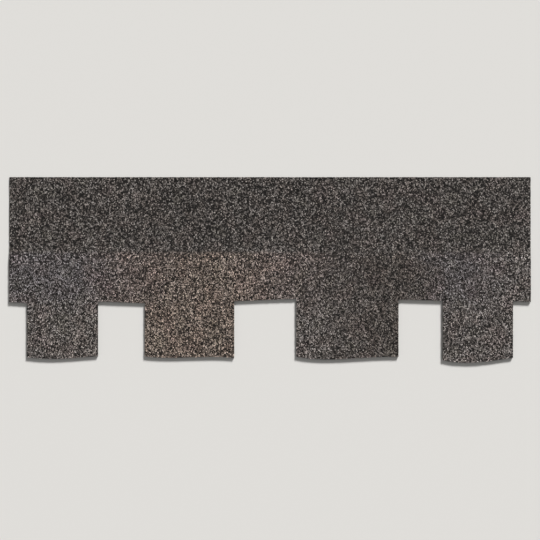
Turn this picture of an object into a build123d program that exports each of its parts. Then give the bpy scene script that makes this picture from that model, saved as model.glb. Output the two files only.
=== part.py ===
from build123d import *
import os

# One laminated asphalt roof shingle of the shake-look kind: two plies, with open slots between
# tabs of random width. It lies flat with its granules up. +X runs along the course, +Y up the
# roof slope and +Z out of the roof. Sizes are in millimetres. Heights up the sheet are counted
# from the butt line, which is the lowest station of the longest tab.

# Tabs, from left to right
tab_1_width = 138.0
tab_2_width = 174.0
tab_3_width = 199.0
tab_4_width = 137.0

# Slots between the tabs, and a notch at each end that makes one more slot with the next shingle's
slot_1_width = 91.5
slot_2_width = 121.0
slot_3_width = 86.0
end_notch_width = 34.75
slot_height = 120.0  # from the butt line to the slots' top edges

# Each butt edge is a curve through four even stations, from its tab's left corner to its right,
# and a station's value is its height above the butt line
butt_heights = (
    (10.9, 7.6, 9.3, 13.1),
    (12.5, 9.8, 11.4, 9.8),
    (12.0, 6.5, 9.8, 11.4),
    (5.4, 0.0, 3.3, 9.8),
)
# How far the left and right ends of each top edge stand off the slot height, from the left end
# notch through the slots to the right end notch
slot_slants = (
    (-1.5, -4.0),
    (-0.5, -4.0),
    (0.0, 5.0),
    (3.0, 1.0),
    (0.0, -1.5),
)
tab_corner_radius = 1.2  # at the butts
slot_corner_radius = 2.5  # where a tab grows out of the sheet

# Plies
overlay_thickness = 2.3
backing_thickness = 2.3
bond_height = 65.5  # how far the backing ply runs up above the highest slot top
drape_run = 40.0  # the overlay comes down from the backing ply to the floor over this
headlap_height = 131.5  # the single ply that lies on the floor above that

# Self-seal dashes of bitumen under the tabs
dash_counts = (3, 3, 4, 3)  # under each tab, from left to right
dash_length = 32.0
dash_width = 10.0
dash_thickness = 0.8
dash_bevel = 0.3
dash_spacing = 10.0  # the gap between two dashes
dash_inset = 14.0  # from the highest butt corner to the middle of the dashes

# Polyester release film on the back of the headlap
film_width = 25.0
film_thickness = 0.1
film_inset = 12.0  # from the top edge

# Levels and heights that follow
tab_widths = (tab_1_width, tab_2_width, tab_3_width, tab_4_width)
slot_widths = (slot_1_width, slot_2_width, slot_3_width, end_notch_width)
ends_of_slots = [(slot_height + left, slot_height + right) for left, right in slot_slants]
backing_bottom = dash_thickness
overlay_bottom = backing_bottom + backing_thickness
headlap_bottom = film_thickness
backing_top = max(max(ends) for ends in ends_of_slots) + bond_height
drape_end = backing_top + drape_run
sheet_height = drape_end + headlap_height
sheet_length = end_notch_width + sum(tab_widths) + sum(slot_widths)
dash_line = max(max(heights) for heights in butt_heights) + dash_inset


def tab_sides():
    """The left and right side of each tab, counted from the sheet's left end."""
    sides = []
    left = end_notch_width
    for width, slot in zip(tab_widths, slot_widths):
        sides.append((left, left + width))
        left += width + slot
    return sides


def die_cut_face(top):
    """The outline that the cutter gives both plies, from the butts up to a straight top edge."""
    ends = tab_sides()
    with BuildSketch() as sheet:
        with BuildLine():
            corner = (0, ends_of_slots[0][0])
            Line((0, top), corner)
            for (left, right), heights, slot_end, next_slot in zip(
                ends, butt_heights, ends_of_slots, ends_of_slots[1:]
            ):
                step = (right - left) / (len(heights) - 1)
                stations = [(left + i * step, h) for i, h in enumerate(heights)]
                Polyline(corner, (left, slot_end[1]), stations[0])
                Spline(*stations)
                corner = (right, next_slot[0])
                Line(stations[-1], corner)
            Polyline(corner, (sheet_length, ends_of_slots[-1][1]), (sheet_length, top), (0, top))
        make_face()
        butt_corners = [
            v for v in sheet.vertices() if v.Y < min(min(ends) for ends in ends_of_slots)
        ]
        slot_corners = [
            v
            for v in sheet.vertices()
            if v not in butt_corners and v.Y < top and 0 < v.X < sheet_length
        ]
        fillet(butt_corners, tab_corner_radius)
        fillet(slot_corners, slot_corner_radius)
    return sheet.sketch


def overlay_ply():
    """The granule-faced sheet: flat on the backing ply, then draped over its top edge."""
    drop_middle = ((backing_top + drape_end) / 2, (overlay_bottom + headlap_bottom) / 2)
    with BuildPart() as draped:
        with BuildSketch(Plane.YZ):
            with BuildLine() as underside:
                Line((0, overlay_bottom), (backing_top, overlay_bottom))
                TangentArc((backing_top, overlay_bottom), drop_middle, tangent=(1, 0))
                TangentArc((drape_end, headlap_bottom), drop_middle, tangent=(-1, 0))
                Line((drape_end, headlap_bottom), (sheet_height, headlap_bottom))
                offset(underside.line, amount=overlay_thickness, side=Side.LEFT)
            make_face()
        extrude(amount=sheet_length)
    cut = extrude(die_cut_face(sheet_height), amount=overlay_bottom + 2 * overlay_thickness)
    return draped.part & cut


def backing_ply():
    """The second ply behind the tabs and the band above them, cut with the overlay."""
    level = Pos(0, 0, backing_bottom) * die_cut_face(backing_top)
    return extrude(level, amount=backing_thickness)


def sealant_dashes():
    """Bevelled pads in one straight line, a row in the middle of each tab."""
    face = SlotOverall(dash_length, dash_width)
    pad = extrude(face, amount=dash_thickness)
    pad = chamfer(pad.faces().sort_by(Axis.Z)[0].edges(), dash_bevel)
    pitch = dash_length + dash_spacing
    dashes = []
    for (left, right), count in zip(tab_sides(), dash_counts):
        first = (left + right - (count - 1) * pitch) / 2
        dashes += [Pos(first + i * pitch, dash_line, 0) * pad for i in range(count)]
    return dashes


def release_film():
    """The clear strip that keeps packed shingles from sealing to each other."""
    middle = sheet_height - film_inset - film_width / 2
    strip = Rectangle(sheet_length, film_width)
    return extrude(Pos(sheet_length / 2, middle, 0) * strip, amount=film_thickness)


nodes = {
    "overlay_ply": overlay_ply(),
    "backing_ply": backing_ply(),
    "release_film": release_film(),
}
for number, dash in enumerate(sealant_dashes(), 1):
    nodes[f"sealant_dash_{number:02d}"] = dash

# The origin is the middle of the box, on the floor
box = nodes["overlay_ply"].bounding_box()
to_origin = Pos(-box.center().X, -box.center().Y, 0)

os.makedirs("parts", exist_ok=True)
for name, shape in nodes.items():
    export_step(to_origin * shape, f"parts/{name}.step")
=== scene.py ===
import bpy
import math
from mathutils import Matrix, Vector, kdtree


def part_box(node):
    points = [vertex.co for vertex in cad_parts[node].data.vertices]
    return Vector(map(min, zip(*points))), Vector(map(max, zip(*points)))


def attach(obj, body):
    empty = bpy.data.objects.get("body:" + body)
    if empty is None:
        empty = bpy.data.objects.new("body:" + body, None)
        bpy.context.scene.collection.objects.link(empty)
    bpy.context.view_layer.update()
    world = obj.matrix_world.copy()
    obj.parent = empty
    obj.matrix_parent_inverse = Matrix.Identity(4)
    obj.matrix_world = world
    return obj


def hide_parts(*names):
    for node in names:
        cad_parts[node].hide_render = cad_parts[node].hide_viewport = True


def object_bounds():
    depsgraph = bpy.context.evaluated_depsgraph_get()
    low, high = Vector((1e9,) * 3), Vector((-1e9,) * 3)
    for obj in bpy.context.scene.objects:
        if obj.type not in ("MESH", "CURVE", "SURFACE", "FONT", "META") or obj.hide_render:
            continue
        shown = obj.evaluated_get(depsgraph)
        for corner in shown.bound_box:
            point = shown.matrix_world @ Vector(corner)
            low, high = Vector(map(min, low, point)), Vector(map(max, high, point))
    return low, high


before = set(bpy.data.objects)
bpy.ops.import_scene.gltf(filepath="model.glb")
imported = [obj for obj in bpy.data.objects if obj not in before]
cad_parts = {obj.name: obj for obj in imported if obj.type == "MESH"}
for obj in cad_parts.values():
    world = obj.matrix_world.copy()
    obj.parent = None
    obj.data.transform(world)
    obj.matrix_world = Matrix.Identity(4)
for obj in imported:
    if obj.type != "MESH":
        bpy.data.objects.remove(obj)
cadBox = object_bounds()
mm = 0.001

# One laminated asphalt shingle, lying flat with its granules up. X runs along the course and
# Y up the slope. The camera looks straight down, as the photograph looks straight at the roof.

photoView = {
    "lens": 100.0,
    "margin": 1.035,  # picture width over the shingle's length
}
studio = {
    "floor": "#dedcd8",
    "horizon": "#e6e5e2",
    "floorSize": 14.0,
    "keyAzimuth": 24.0,  # degrees from +Y towards +X, so that the light comes from the upper right
    "keyHeight": 31.0,  # degrees, low enough for the butts to throw a dark band
    "keySoftness": 14.0,  # degrees across
    "keyShare": 0.74,  # of the light that falls on a level surface. The sky gives the rest
}


def toLinear(code):
    values = [int(code[i:i + 2], 16) / 255 for i in (1, 3, 5)]
    return tuple(v / 12.92 if v <= 0.04045 else ((v + 0.055) / 1.055) ** 2.4 for v in values) + (1.0,)


# Adds a node, sets its own settings and sockets, fills a ramp and links what feeds it
def addNode(tree, kind, settings=None, sockets=None, links=None, stops=None):
    made = tree.nodes.new(kind)
    for name, value in (settings or {}).items():
        setattr(made, name, value)
    for name, value in (sockets or {}).items():
        made.inputs[name].default_value = value
    for name, source in (links or {}).items():
        tree.links.new(source, made.inputs[name])
    if stops:
        ramp = made.color_ramp
        while len(ramp.elements) < len(stops):
            ramp.elements.new(1.0)
        for element, (place, colour) in zip(ramp.elements, stops):
            element.position = place
            element.color = colour
    return made


def grey(value):
    return (value, value, value, 1.0)


def newMaterial(name):
    material = bpy.data.materials.new(name)
    material.use_nodes = True
    tree = material.node_tree
    tree.nodes.clear()
    surface = addNode(tree, "ShaderNodeBsdfPrincipled")
    addNode(tree, "ShaderNodeOutputMaterial", links={"Surface": surface.outputs["BSDF"]})
    return material, tree, surface


def onlySelect(piece):
    bpy.ops.object.select_all(action="DESELECT")
    piece.select_set(True)
    bpy.context.view_layer.objects.active = piece


print("ceramic-coated granules")
granules = {
    "grain": 2.25 * mm,  # real granules are 1 to 1.7 mm, drawn coarser so that they show
    "height": 0.45 * mm,  # how far a grain stands out
    "slope": 0.225 * mm,  # how wide a grain's sloping side is
    "crag": 0.9 * mm,  # how far apart the bumps on a grain are
    "cragHeight": 0.8,  # of a grain's height
    "chipping": 1.1 * mm,  # how far a grain's outline strays
    "gap": 0.36 * mm,  # the widest black rim round a grain: bare asphalt and painted shade in the hollow between grains
    "lean": 2.6,  # how steeply the broken faces lean
    "greyBrown": "#5c5754",
    "warmGrey": "#605b57",
    "tan": "#665c54",
    "rose": "#5f5652",
    "blueGrey": "#555151",
    "slate": "#4f4a47",
    "charcoal": "#47423e",
    "headlap": "#4b4744",
    "stray": 34 * mm,  # how far single grains of one colour fly into the next
    "swirl": 90 * mm,  # how far the border between two colours wanders
    "cloud": 60 * mm,  # how far apart its bends are
    "patch": 42 * mm,
    "headlapStart": 34 * mm,  # up the slope from the middle
    "headlapBlur": 4 * mm,
    "tabEnd": -66 * mm,  # where the tabs' colours give way to the band's
    "tabEndBlur": 20 * mm,
    "wearAndHighlightPaleness": 1.25,  # how much paler the grains along a butt are drawn, as wear and as a painted highlight
    # The black between the grains: the asphalt's own colour, and painted shade in the hollows between
    # them
    "asphalt": "#110f0e",
}
# Where each colour is dropped along the sheet, on the tabs and on the band above them
tabDrops = (
    (-0.46, "greyBrown"), (-0.34, "warmGrey"), (-0.25, "tan"), (-0.06, "tan"),
    (0.06, "greyBrown"), (0.25, "charcoal"), (0.34, "greyBrown"), (0.47, "greyBrown"),
)
bandDrops = (
    (-0.48, "blueGrey"), (-0.38, "blueGrey"), (-0.28, "rose"), (-0.12, "tan"),
    (0.02, "rose"), (0.13, "slate"), (0.25, "charcoal"), (0.38, "blueGrey"), (0.47, "greyBrown"),
)


def granuleMaterial():
    # Crushed rock with a fired ceramic colour coat, pressed into hot asphalt: matt, sharp-grained,
    # each grain its own shade, with black between the grains that is bare asphalt and painted shade.
    material, tree, surface = newMaterial("ceramic_coated_granules")
    place = addNode(tree, "ShaderNodeTexCoord").outputs["Object"]
    crag = addNode(
        tree, "ShaderNodeTexNoise", sockets={"Scale": 1 / granules["crag"], "Detail": 2.0},
        links={"Vector": place},
    )
    # Grains are broken, so their outlines stray
    broken = addNode(
        tree, "ShaderNodeVectorMath", {"operation": "MULTIPLY_ADD"}, {1: (granules["chipping"],) * 3},
        {0: crag.outputs["Color"], 2: place},
    ).outputs["Vector"]
    cells = addNode(
        tree, "ShaderNodeTexVoronoi", sockets={"Scale": 1 / granules["grain"]}, links={"Vector": broken},
    )
    gaps = addNode(
        tree, "ShaderNodeTexVoronoi", {"feature": "DISTANCE_TO_EDGE"},
        {"Scale": 1 / granules["grain"]}, {"Vector": broken},
    )
    chance = addNode(tree, "ShaderNodeSeparateColor", links={"Color": cells.outputs["Color"]})
    cloud = addNode(
        tree, "ShaderNodeTexNoise", sockets={"Scale": 1 / granules["cloud"], "Detail": 3.0},
        links={"Vector": place},
    )
    xyz = addNode(tree, "ShaderNodeSeparateXYZ", links={"Vector": place})

    # Each grain takes the colour that was dropped a little way off from where it lies
    flight = addNode(
        tree, "ShaderNodeMath", {"operation": "MULTIPLY_ADD"},
        {1: granules["stray"], 2: -granules["stray"] / 2}, {0: chance.outputs["Red"]},
    )
    swirl = addNode(
        tree, "ShaderNodeMath", {"operation": "MULTIPLY_ADD"},
        {1: granules["swirl"], 2: -granules["swirl"] / 2}, {0: cloud.outputs["Fac"]},
    )
    wander = addNode(
        tree, "ShaderNodeMath", {"operation": "ADD"},
        links={0: flight.outputs[0], 1: swirl.outputs[0]},
    )
    alongX = addNode(
        tree, "ShaderNodeMath", {"operation": "ADD"},
        links={0: xyz.outputs["X"], 1: wander.outputs[0]},
    )
    upY = addNode(
        tree, "ShaderNodeMath", {"operation": "ADD"},
        links={0: xyz.outputs["Y"], 1: wander.outputs[0]},
    )
    low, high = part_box("overlay_ply")
    share = addNode(
        tree, "ShaderNodeMapRange", sockets={"From Min": low.x, "From Max": high.x},
        links={"Value": alongX.outputs[0]},
    )

    def dropRamp(drops):
        stops = [((x - low.x) / (high.x - low.x), toLinear(granules[name])) for x, name in drops]
        return addNode(tree, "ShaderNodeValToRGB", links={"Fac": share.outputs[0]}, stops=stops)

    inBand = addNode(
        tree, "ShaderNodeMapRange",
        sockets={
            "From Min": granules["tabEnd"] - granules["tabEndBlur"],
            "From Max": granules["tabEnd"] + granules["tabEndBlur"],
        },
        links={"Value": upY.outputs[0]},
    )
    inHeadlap = addNode(
        tree, "ShaderNodeMapRange",
        sockets={
            "From Min": granules["headlapStart"] - granules["headlapBlur"],
            "From Max": granules["headlapStart"] + granules["headlapBlur"],
        },
        links={"Value": xyz.outputs["Y"]},
    )
    exposed = addNode(
        tree, "ShaderNodeMixRGB",
        links={
            "Fac": inBand.outputs[0],
            "Color1": dropRamp(tabDrops).outputs[0],
            "Color2": dropRamp(bandDrops).outputs[0],
        },
    )
    ground = addNode(
        tree, "ShaderNodeMixRGB", sockets={"Color2": toLinear(granules["headlap"])},
        links={"Fac": inHeadlap.outputs[0], "Color1": exposed.outputs[0]},
    )
    # Patches of plum, tan, slate and olive grains
    patches = addNode(
        tree, "ShaderNodeTexNoise", sockets={"Scale": 1 / granules["patch"], "Detail": 2.0},
        links={"Vector": place},
    )
    tint = addNode(
        tree, "ShaderNodeValToRGB", links={"Fac": patches.outputs["Fac"]},
        stops=[
            (0.3, (1.035, 0.98, 0.995, 1)), (0.42, (1.02, 0.995, 0.975, 1)),
            (0.55, (0.985, 0.995, 1.005, 1)), (0.68, (0.995, 1.01, 0.975, 1)),
        ],
    )
    tinted = addNode(
        tree, "ShaderNodeMixRGB", {"blend_type": "MULTIPLY"}, {"Fac": 1.0},
        {"Color1": ground.outputs[0], "Color2": tint.outputs[0]},
    )
    # The shade of each grain, from near black to a pale, cooler grey
    shade = addNode(
        tree, "ShaderNodeValToRGB", links={"Fac": chance.outputs["Green"]},
        stops=[
            (0.0, (0.045, 0.042, 0.04, 1)), (0.23, (0.3, 0.29, 0.286, 1)), (0.5, (1.66, 1.61, 1.6, 1)),
            (0.8, (4.22, 4.19, 4.22, 1)), (0.93, (6.35, 6.42, 6.5, 1)), (1.0, (7.9, 8.0, 8.2, 1)),
        ],
    )
    grains = addNode(
        tree, "ShaderNodeMixRGB", {"blend_type": "MULTIPLY"}, {"Fac": 1.0},
        {"Color1": tinted.outputs[0], "Color2": shade.outputs[0]},
    )
    # Grains along the butts are drawn paler: a painted highlight along the edge, and wear as well
    wearAndHighlight = addNode(tree, "ShaderNodeAttribute", {"attribute_name": "buttWearAndHighlight"})
    paler = addNode(
        tree, "ShaderNodeMapRange", sockets={"To Min": 1.0, "To Max": granules["wearAndHighlightPaleness"]},
        links={"Value": wearAndHighlight.outputs["Fac"]},
    )
    wornAndHighlighted = addNode(
        tree, "ShaderNodeMixRGB", {"blend_type": "MULTIPLY"}, {"Fac": 1.0},
        {"Color1": grains.outputs[0], "Color2": paler.outputs[0]},
    )
    # Some grains fill their place and others leave black round them: bare asphalt, and painted shade in
    # the hollows between the grains
    asphaltAndShadeRim = addNode(
        tree, "ShaderNodeMath", {"operation": "MULTIPLY_ADD"},
        {1: -granules["gap"] / granules["grain"]},
        {0: chance.outputs["Blue"], 2: gaps.outputs["Distance"]},
    )
    onGrain = addNode(
        tree, "ShaderNodeMapRange",
        sockets={"From Min": 0.0, "From Max": granules["slope"] / granules["grain"]},
        links={"Value": asphaltAndShadeRim.outputs[0]},
    )
    colour = addNode(
        tree, "ShaderNodeMixRGB", sockets={"Color1": toLinear(granules["asphalt"])},
        links={"Fac": onGrain.outputs[0], "Color2": wornAndHighlighted.outputs[0]},
    )
    polish = addNode(
        tree, "ShaderNodeMapRange", sockets={"To Min": 0.6, "To Max": 0.95},
        links={"Value": chance.outputs["Blue"]},
    )
    # Each grain is a chip whose broken face leans its own way
    fromMiddle = addNode(
        tree, "ShaderNodeVectorMath", {"operation": "SUBTRACT"},
        links={0: broken, 1: cells.outputs["Position"]},
    )
    leaning = addNode(
        tree, "ShaderNodeVectorMath", {"operation": "SUBTRACT"}, {1: (0.5, 0.5, 0.5)},
        {0: cells.outputs["Color"]},
    )
    lean = addNode(
        tree, "ShaderNodeVectorMath", {"operation": "DOT_PRODUCT"},
        links={0: fromMiddle.outputs["Vector"], 1: leaning.outputs["Vector"]},
    )
    chip = addNode(
        tree, "ShaderNodeMath", {"operation": "MULTIPLY_ADD"},
        {1: granules["lean"] / granules["grain"]},
        {0: lean.outputs["Value"], 2: onGrain.outputs[0]},
    )
    height = addNode(
        tree, "ShaderNodeMath", {"operation": "MULTIPLY_ADD"}, {1: granules["cragHeight"]},
        {0: crag.outputs["Fac"], 2: chip.outputs[0]},
    )
    bump = addNode(
        tree, "ShaderNodeBump", sockets={"Strength": 0.8, "Distance": granules["height"]},
        links={"Height": height.outputs[0]},
    )
    surface.inputs["Specular IOR Level"].default_value = 0.16
    tree.links.new(colour.outputs[0], surface.inputs["Base Color"])
    tree.links.new(polish.outputs[0], surface.inputs["Roughness"])
    tree.links.new(bump.outputs[0], surface.inputs["Normal"])
    return material


print("asphalt, sand, sealant and film")
ply = {
    "asphalt": "#14120f",
    "fibre": "#8a8274",
    "fibreLength": 7 * mm,
    "fibreWidth": 0.5 * mm,  # glass fibre bundles are far finer, drawn coarser so that they show
    "sand": 0.8 * mm,  # real mineral fines are 0.2 to 0.5 mm, drawn coarser so that they show
    "sandDark": "#1d1b1a",
    "sandPale": "#a29d94",
    "dust": "#8f8a82",
    "streakLength": 300 * mm,
    "streakWidth": 60 * mm,
}
sealant = {
    "bitumen": "#0d0b0a",
    "ripple": 3.5 * mm,
    "side": 0.3 * mm,
    "crown": ((0.6 * mm, 0.2 * mm), (1.0 * mm, 0.14 * mm), (1.4 * mm, 0.08 * mm)),  # in and out, by rings
    "endRadius": 0.48,  # of the width, which leaves the ends nearly half round
    "endSteps": 7,
    "cell": 2.5 * mm,
    "waver": 1.4 * mm,  # how far the outline strays as the nozzle pulses
    "waverLength": 7 * mm,
    "smoothBelow": 50,  # degrees between faces
}
film = {
    "polyester": "#dfe4e4",
    "opacity": 0.35,
    "creaseLength": 60 * mm,
    "creaseWidth": 9 * mm,
}


def cutEdgeMaterial():
    # Asphalt that a rotary die sheared hot: black, a little smeared, with the ends and sides of
    # the glass mat's fibres along the cut.
    material, tree, surface = newMaterial("sheared_asphalt_on_glass_mat")
    place = addNode(tree, "ShaderNodeTexCoord").outputs["Object"]
    along = addNode(
        tree, "ShaderNodeMapping",
        sockets={"Scale": (1 / ply["fibreLength"], 1 / ply["fibreLength"], 1 / ply["fibreWidth"])},
        links={"Vector": place},
    )
    strands = addNode(
        tree, "ShaderNodeTexNoise", sockets={"Scale": 1.0, "Detail": 4.0},
        links={"Vector": along.outputs[0]},
    )
    colour = addNode(
        tree, "ShaderNodeValToRGB", links={"Fac": strands.outputs["Fac"]},
        stops=[
            (0.0, toLinear(ply["asphalt"])), (0.58, toLinear(ply["asphalt"])),
            (0.66, toLinear(ply["fibre"])), (0.72, toLinear(ply["asphalt"])),
        ],
    )
    smear = addNode(
        tree, "ShaderNodeMapRange",
        sockets={"From Min": 0.35, "From Max": 0.65, "To Min": 0.4, "To Max": 0.75},
        links={"Value": strands.outputs["Fac"]},
    )
    bump = addNode(
        tree, "ShaderNodeBump", sockets={"Strength": 0.6, "Distance": 0.3 * mm},
        links={"Height": strands.outputs["Fac"]},
    )
    tree.links.new(colour.outputs[0], surface.inputs["Base Color"])
    tree.links.new(smear.outputs[0], surface.inputs["Roughness"])
    tree.links.new(bump.outputs[0], surface.inputs["Normal"])
    return material


def sandedBackMaterial():
    # The back coat of asphalt, dusted with crushed limestone while it was hot and pressed by
    # rollers: dark grey, dry and finely gritty, with pale streaks along the sheet.
    material, tree, surface = newMaterial("asphalt_dusted_with_limestone")
    place = addNode(tree, "ShaderNodeTexCoord").outputs["Object"]
    grit = addNode(
        tree, "ShaderNodeTexVoronoi", sockets={"Scale": 1 / ply["sand"]}, links={"Vector": place},
    )
    chance = addNode(tree, "ShaderNodeSeparateColor", links={"Color": grit.outputs["Color"]})
    sand = addNode(
        tree, "ShaderNodeValToRGB", links={"Fac": chance.outputs["Red"]},
        stops=[
            (0.0, toLinear(ply["sandDark"])), (0.6, toLinear(ply["sandDark"])),
            (0.68, grey(0.09)), (1.0, toLinear(ply["sandPale"])),
        ],
    )
    rolled = addNode(
        tree, "ShaderNodeMapping",
        sockets={"Scale": (1 / ply["streakLength"], 1 / ply["streakWidth"], 1 / ply["streakWidth"])},
        links={"Vector": place},
    )
    streaks = addNode(
        tree, "ShaderNodeTexNoise", sockets={"Scale": 1.0, "Detail": 6.0, "Roughness": 0.65},
        links={"Vector": rolled.outputs[0]},
    )
    dusty = addNode(
        tree, "ShaderNodeMapRange",
        sockets={"From Min": 0.36, "From Max": 0.68, "To Min": 0.04, "To Max": 0.34},
        links={"Value": streaks.outputs["Fac"]},
    )
    colour = addNode(
        tree, "ShaderNodeMixRGB", sockets={"Color2": toLinear(ply["dust"])},
        links={"Fac": dusty.outputs[0], "Color1": sand.outputs[0]},
    )
    bump = addNode(
        tree, "ShaderNodeBump", sockets={"Strength": 0.6, "Distance": 0.35 * mm},
        links={"Height": grit.outputs["Distance"]},
    )
    surface.inputs["Roughness"].default_value = 0.85
    tree.links.new(colour.outputs[0], surface.inputs["Base Color"])
    tree.links.new(bump.outputs[0], surface.inputs["Normal"])
    return material


def sealantMaterial():
    # Polymer-modified bitumen laid down hot: black and glossy, with soft ripples where it set.
    material, tree, surface = newMaterial("hot_laid_bitumen")
    place = addNode(tree, "ShaderNodeTexCoord").outputs["Object"]
    ripples = addNode(
        tree, "ShaderNodeTexNoise", sockets={"Scale": 1 / sealant["ripple"], "Detail": 3.0},
        links={"Vector": place},
    )
    gloss = addNode(
        tree, "ShaderNodeMapRange",
        sockets={"From Min": 0.3, "From Max": 0.7, "To Min": 0.14, "To Max": 0.36},
        links={"Value": ripples.outputs["Fac"]},
    )
    bump = addNode(
        tree, "ShaderNodeBump", sockets={"Strength": 0.5, "Distance": 0.5 * mm},
        links={"Height": ripples.outputs["Fac"]},
    )
    surface.inputs["Base Color"].default_value = toLinear(sealant["bitumen"])
    tree.links.new(gloss.outputs[0], surface.inputs["Roughness"])
    tree.links.new(bump.outputs[0], surface.inputs["Normal"])
    return material


def filmMaterial():
    # Clear polyester tape with a silicone coat: thin, glossy and slightly creased across.
    material, tree, surface = newMaterial("clear_polyester_film")
    place = addNode(tree, "ShaderNodeTexCoord").outputs["Object"]
    across = addNode(
        tree, "ShaderNodeMapping",
        sockets={"Scale": (1 / film["creaseWidth"], 1 / film["creaseLength"], 1 / film["creaseWidth"])},
        links={"Vector": place},
    )
    creases = addNode(
        tree, "ShaderNodeTexNoise", sockets={"Scale": 1.0, "Detail": 2.0},
        links={"Vector": across.outputs[0]},
    )
    bump = addNode(
        tree, "ShaderNodeBump", sockets={"Strength": 0.4, "Distance": 0.6 * mm},
        links={"Height": creases.outputs["Fac"]},
    )
    surface.inputs["Base Color"].default_value = toLinear(film["polyester"])
    surface.inputs["Roughness"].default_value = 0.12
    surface.inputs["Alpha"].default_value = film["opacity"]
    tree.links.new(bump.outputs[0], surface.inputs["Normal"])
    return material


granuleFace = granuleMaterial()
cutEdge = cutEdgeMaterial()
sandedBack = sandedBackMaterial()


# A CAD node's mesh is loose triangles with normals of their own, so its copy is merged and its
# normals cleared before it is cut up
def copyOfNode(name, pieceName):
    piece = bpy.data.objects.new(pieceName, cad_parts[name].data.copy())
    bpy.context.scene.collection.objects.link(piece)
    onlySelect(piece)
    bpy.ops.object.mode_set(mode="EDIT")
    bpy.ops.mesh.select_all(action="SELECT")
    bpy.ops.mesh.remove_doubles(threshold=0.01 * mm)
    bpy.ops.mesh.dissolve_limited(angle_limit=math.radians(0.2))
    bpy.ops.object.mode_set(mode="OBJECT")
    bpy.ops.mesh.customdata_custom_splitnormals_clear()
    return piece


def cutAcross(places, direction):
    for place in places:
        bpy.ops.mesh.select_all(action="SELECT")
        bpy.ops.mesh.bisect(plane_co=Vector(direction) * place, plane_no=direction)


# Even places between each two of the given ones, about a cell apart
def evenPlaces(edges, cell):
    places = []
    for start, end in zip(edges, edges[1:]):
        parts = max(1, round((end - start) / cell))
        places += [start + (end - start) * i / parts for i in range(parts)]
    return places[1:]


# Selects the points, edges or faces that are wanted, and leaves the mesh open to be edited
def choose(mesh, kind, wanted):
    bpy.ops.object.mode_set(mode="EDIT")
    bpy.ops.mesh.select_mode(type=kind)
    bpy.ops.mesh.select_all(action="DESELECT")
    bpy.ops.object.mode_set(mode="OBJECT")
    for part in {"VERT": mesh.vertices, "EDGE": mesh.edges, "FACE": mesh.polygons}[kind]:
        part.select = wanted(part)
    bpy.ops.object.mode_set(mode="EDIT")


def pointsOf(mesh, wanted):
    return {index for polygon in mesh.polygons if wanted(polygon) for index in polygon.vertices}


def isFace(polygon):
    return polygon.normal.z > 0.9


def isBack(polygon):
    return polygon.normal.z < -0.9


# In the order that paintPly gives the materials
def isPaintedFace(polygon):
    return polygon.material_index == 0


def isCutEdge(polygon):
    return polygon.material_index == 1


# Leaves out a place that is hardly past the last one, so that no strip is cut too narrow
def apart(places, least):
    kept = []
    for place in places:
        if not kept or place - kept[-1] > least:
            kept.append(place)
    return kept


def cutIntoCells(piece, cell):
    mesh = piece.data
    low, high = Vector(piece.bound_box[0]), Vector(piece.bound_box[6])
    sides = apart(sorted(f.center.x for f in mesh.polygons if abs(f.normal.x) > 0.99), cell / 2)
    slotEnd = max(f.center.y for f in mesh.polygons if f.normal.y < -0.95)
    bpy.ops.object.mode_set(mode="EDIT")
    cutAcross(evenPlaces(sides, cell), (1, 0, 0))
    cutAcross(evenPlaces([low.y, slotEnd, high.y], cell), (0, 1, 0))
    bpy.ops.object.mode_set(mode="OBJECT")


def paintPly(mesh, faceMaterial):
    mesh.materials.clear()
    for material in (faceMaterial, cutEdge, sandedBack):
        mesh.materials.append(material)
    for polygon in mesh.polygons:
        polygon.material_index = 0 if isFace(polygon) else 2 if isBack(polygon) else 1


def standIn(piece, node):
    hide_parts(node)
    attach(piece, "root")
    print(" ", piece.name, len(piece.data.polygons), "faces")


print("die-cut overlay with its granule relief")
overlay = {
    "cell": 16 * mm,
    "cuts": 7,  # in each cell, which makes the grid 2 mm
    "drapeRun": 40 * mm,
    # How far a point is pushed, by how near the next point is
    "relief": ((0.4 * mm, 0.05 * mm), (1.2 * mm, 0.16 * mm), (100 * mm, 0.36 * mm)),
    "wearAndHighlight": 3.5 * mm,  # how far in from a butt the paler grains of wear and painted highlight reach
    "waveLength": 70 * mm,
    "waveHeight": 0.5 * mm,
    "smoothBelow": 50,  # degrees between faces
    "seed": 5,
}


# 1 on a butt edge, 0 past the paler strip of wear and painted highlight. The slots' top edges lie farther
# up and get neither
def markButtWearAndHighlight(mesh):
    wornBelow = granules["tabEnd"] - granules["tabEndBlur"]
    buttPoints = pointsOf(mesh, lambda polygon: polygon.normal.y < -0.7 and polygon.center.y < wornBelow)
    tree = kdtree.KDTree(len(buttPoints))
    for index in buttPoints:
        tree.insert(mesh.vertices[index].co, index)
    tree.balance()
    wearAndHighlight = mesh.attributes.new("buttWearAndHighlight", "FLOAT", "POINT")
    for vertex in mesh.vertices:
        wearAndHighlight.data[vertex.index].value = max(0.0, 1 - tree.find(vertex.co)[2] / overlay["wearAndHighlight"])


# Long low waves that a sheet takes in its bundle, in the granule face only
def addWaves(piece):
    onFace = sorted(pointsOf(piece.data, isFace))
    piece.vertex_groups.new(name="granuleFace").add(onFace, 1.0, "REPLACE")
    texture = bpy.data.textures.new("sheetWaves", "CLOUDS")
    texture.noise_scale = overlay["waveLength"]
    waves = piece.modifiers.new("waves", "DISPLACE")
    waves.texture = texture
    waves.direction = "Z"
    waves.strength = overlay["waveHeight"]
    waves.vertex_group = "granuleFace"
    onlySelect(piece)
    bpy.ops.object.modifier_apply(modifier="waves")


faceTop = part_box("overlay_ply")[1].z
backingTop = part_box("backing_ply")[1]
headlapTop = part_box("release_film")[1].z + faceTop - backingTop.z


# Height of the granule face: level over the backing, then down its top edge in an S to the headlap
def faceLevel(y):
    share = min(1.0, max(0.0, (y - backingTop.y) / overlay["drapeRun"]))
    fall = 2 * share ** 2 if share < 0.5 else 1 - 2 * (1 - share) ** 2
    return faceTop - (faceTop - headlapTop) * fall


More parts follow.
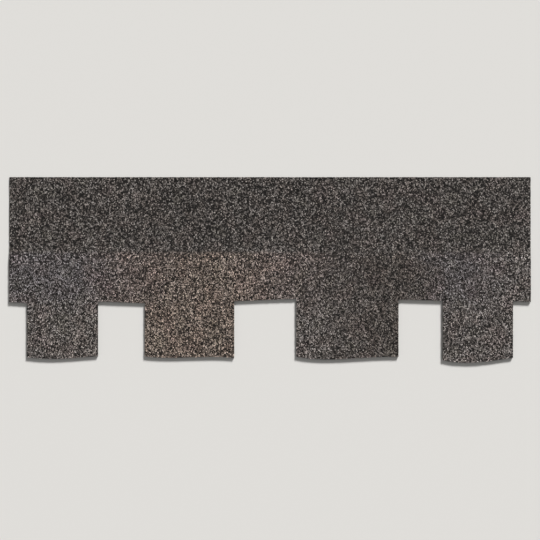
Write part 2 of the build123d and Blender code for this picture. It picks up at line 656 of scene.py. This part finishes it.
# Pushes each point of the granule face in or out, and only a little where the grid is fine
def addRelief(mesh):
    nearest = {index: 1.0 for index in pointsOf(mesh, isPaintedFace)}
    for edge in mesh.edges:
        first, second = edge.vertices
        length = (mesh.vertices[first].co - mesh.vertices[second].co).length
        for index in (first, second):
            if index in nearest:
                nearest[index] = min(nearest[index], length)
    start = 0.0
    for end, offset in overlay["relief"]:
        choose(mesh, "VERT", lambda point: start <= nearest.get(point.index, -1) < end)
        bpy.ops.transform.vertex_random(offset=offset, normal=1.0, seed=overlay["seed"])
        bpy.ops.object.mode_set(mode="OBJECT")
        start = end


# The drape comes as strips, whose long edges go, so that the face can be cut evenly
def joinFace(mesh):
    faceEdges = {}
    for polygon in mesh.polygons:
        if isFace(polygon):
            for key in polygon.edge_keys:
                faceEdges[key] = faceEdges.get(key, 0) + 1
    inner = {key for key, count in faceEdges.items() if count == 2}
    choose(mesh, "EDGE", lambda edge: edge.key in inner)
    bpy.ops.mesh.dissolve_edges(use_verts=False)
    bpy.ops.object.mode_set(mode="OBJECT")


def makeOverlay():
    piece = copyOfNode("overlay_ply", "granule_overlay")
    mesh = piece.data
    joinFace(mesh)
    cutIntoCells(piece, overlay["cell"])
    # Cells that an edge cuts have five sides or more, and are split before the fine grid
    choose(mesh, "FACE", lambda polygon: isFace(polygon) and len(polygon.vertices) > 4)
    bpy.ops.mesh.quads_convert_to_tris()
    bpy.ops.object.mode_set(mode="OBJECT")
    choose(mesh, "FACE", isFace)
    bpy.ops.mesh.subdivide(number_cuts=overlay["cuts"])
    bpy.ops.object.mode_set(mode="OBJECT")
    paintPly(mesh, granuleFace)
    for index in pointsOf(mesh, isPaintedFace):
        mesh.vertices[index].co.z = faceLevel(mesh.vertices[index].co.y)
    # The paler strip along the butts is a painted highlight as well as wear
    markButtWearAndHighlight(mesh)
    addWaves(piece)
    addRelief(mesh)
    bpy.ops.object.shade_smooth_by_angle(angle=math.radians(overlay["smoothBelow"]))
    return piece


standIn(makeOverlay(), "overlay_ply")


print("backing ply")
backing = {
    "cell": 8 * mm,
    "roughness": 0.12 * mm,  # how unevenly the cut edges are sheared
    "smoothBelow": 30,  # degrees between faces
    "seed": 11,
}


def makeBacking():
    piece = copyOfNode("backing_ply", "asphalt_backing")
    mesh = piece.data
    cutIntoCells(piece, backing["cell"])
    paintPly(mesh, sandedBack)
    choose(mesh, "FACE", isCutEdge)
    bpy.ops.transform.vertex_random(offset=backing["roughness"], normal=1.0, seed=backing["seed"])
    bpy.ops.object.mode_set(mode="OBJECT")
    bpy.ops.object.shade_smooth_by_angle(angle=math.radians(backing["smoothBelow"]))
    return piece


standIn(makeBacking(), "backing_ply")


print("sealant dashes and release film")


def isUpright(edge, mesh):
    bottom, top = [mesh.vertices[index].co.z for index in edge.vertices]
    return abs(top - bottom) > sealant["side"] / 2


# One dash, its root on the back of the tab and its crown down
def dashPattern():
    low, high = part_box("sealant_dash_01")
    size = high - low
    length, width = size.x - sealant["waver"], size.y - sealant["waver"]
    bpy.ops.object.select_all(action="DESELECT")
    bpy.ops.mesh.primitive_cube_add(size=1)
    piece = bpy.context.object
    mesh = piece.data
    bpy.ops.object.mode_set(mode="EDIT")
    bpy.ops.transform.resize(value=(length, width, sealant["side"]))
    bpy.ops.object.mode_set(mode="OBJECT")
    choose(mesh, "EDGE", lambda edge: isUpright(edge, mesh))
    bpy.ops.mesh.bevel(offset=width * sealant["endRadius"], segments=sealant["endSteps"])
    bpy.ops.object.mode_set(mode="OBJECT")
    choose(mesh, "FACE", isBack)
    for inward, lower in sealant["crown"]:
        bpy.ops.mesh.inset(thickness=inward, depth=lower)
    cutAcross(evenPlaces([-size.x / 2, size.x / 2], sealant["cell"]), (1, 0, 0))
    bpy.ops.mesh.select_all(action="SELECT")
    bpy.ops.transform.translate(value=(0, 0, size.z - sealant["side"] / 2))
    bpy.ops.object.mode_set(mode="OBJECT")
    return piece


def makeDash(pattern, node, texture):
    low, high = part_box(node)
    piece = bpy.data.objects.new(node.replace("dash", "bead"), pattern.data.copy())
    bpy.context.scene.collection.objects.link(piece)
    onlySelect(piece)
    bpy.ops.object.mode_set(mode="EDIT")
    bpy.ops.mesh.select_all(action="SELECT")
    bpy.ops.transform.translate(value=((low.x + high.x) / 2, (low.y + high.y) / 2, 0))
    bpy.ops.object.mode_set(mode="OBJECT")
    waver = piece.modifiers.new("waver", "DISPLACE")
    waver.texture = texture
    waver.direction = "Y"
    waver.strength = sealant["waver"]
    bpy.ops.object.modifier_apply(modifier="waver")
    bpy.ops.object.shade_smooth_by_angle(angle=math.radians(sealant["smoothBelow"]))
    piece.data.materials.append(bitumen)
    standIn(piece, node)


bitumen = sealantMaterial()
waverTexture = bpy.data.textures.new("sealantWaver", "CLOUDS")
waverTexture.noise_scale = sealant["waverLength"]
pattern = dashPattern()
for name in sorted(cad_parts):
    if name.startswith("sealant_dash"):
        makeDash(pattern, name, waverTexture)
bpy.data.objects.remove(pattern)

releaseFilm = filmMaterial()
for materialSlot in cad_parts["release_film"].material_slots:
    materialSlot.material = releaseFilm


print("camera, floor and light")


def makeFloor():
    low, high = cadBox
    middle = (low + high) / 2
    bpy.ops.object.select_all(action="DESELECT")
    bpy.ops.mesh.primitive_plane_add(size=studio["floorSize"], location=(middle.x, middle.y, low.z))
    floor = bpy.context.object
    floor.name = "floor"
    material, _, surface = newMaterial("studio_floor")
    surface.inputs["Base Color"].default_value = toLinear(studio["floor"])
    surface.inputs["Roughness"].default_value = 0.9
    floor.data.materials.append(material)


def makeCamera():
    low, high = cadBox
    middle = (low + high) / 2
    camera = bpy.data.cameras.new("camera")
    camera.lens = photoView["lens"]
    away = (high.x - low.x) * photoView["margin"] * camera.lens / camera.sensor_width
    eye = bpy.data.objects.new("camera", camera)
    eye.location = (middle.x, middle.y, high.z + away)
    bpy.context.scene.collection.objects.link(eye)
    bpy.context.scene.camera = eye


def makeKeyLight():
    key = bpy.data.lights.new("key", "SUN")
    height, azimuth = math.radians(studio["keyHeight"]), math.radians(studio["keyAzimuth"])
    key.angle = math.radians(studio["keySoftness"])
    key.energy = math.pi * studio["keyShare"] / math.sin(height)
    lamp = bpy.data.objects.new("key", key)
    lamp.rotation_euler = (math.pi / 2 - height, 0, math.pi - azimuth)
    bpy.context.scene.collection.objects.link(lamp)


# The sky's light comes from all round, and a pale studio shows behind the shingle instead of it
def makeSky():
    world = bpy.data.worlds.new("studio")
    bpy.context.scene.world = world
    world.use_nodes = True
    tree = world.node_tree
    tree.nodes.clear()
    sky = addNode(
        tree, "ShaderNodeBackground",
        sockets={"Color": grey(1.0), "Strength": 1 - studio["keyShare"]},
    )
    seen = addNode(
        tree, "ShaderNodeBackground",
        sockets={"Color": toLinear(studio["horizon"]), "Strength": 1.0},
    )
    path = addNode(tree, "ShaderNodeLightPath")
    either = addNode(
        tree, "ShaderNodeMath", {"operation": "ADD"},
        links={0: path.outputs["Is Camera Ray"], 1: path.outputs["Is Glossy Ray"]},
    )
    shown = addNode(
        tree, "ShaderNodeMath", {"operation": "ADD", "use_clamp": True},
        links={0: either.outputs[0], 1: path.outputs["Is Transmission Ray"]},
    )
    mixed = addNode(
        tree, "ShaderNodeMixShader", links={0: shown.outputs[0], 1: sky.outputs[0], 2: seen.outputs[0]},
    )
    addNode(tree, "ShaderNodeOutputWorld", links={"Surface": mixed.outputs[0]})


makeFloor()
makeCamera()
makeKeyLight()
makeSky()
bpy.context.scene.view_settings.view_transform = "Standard"
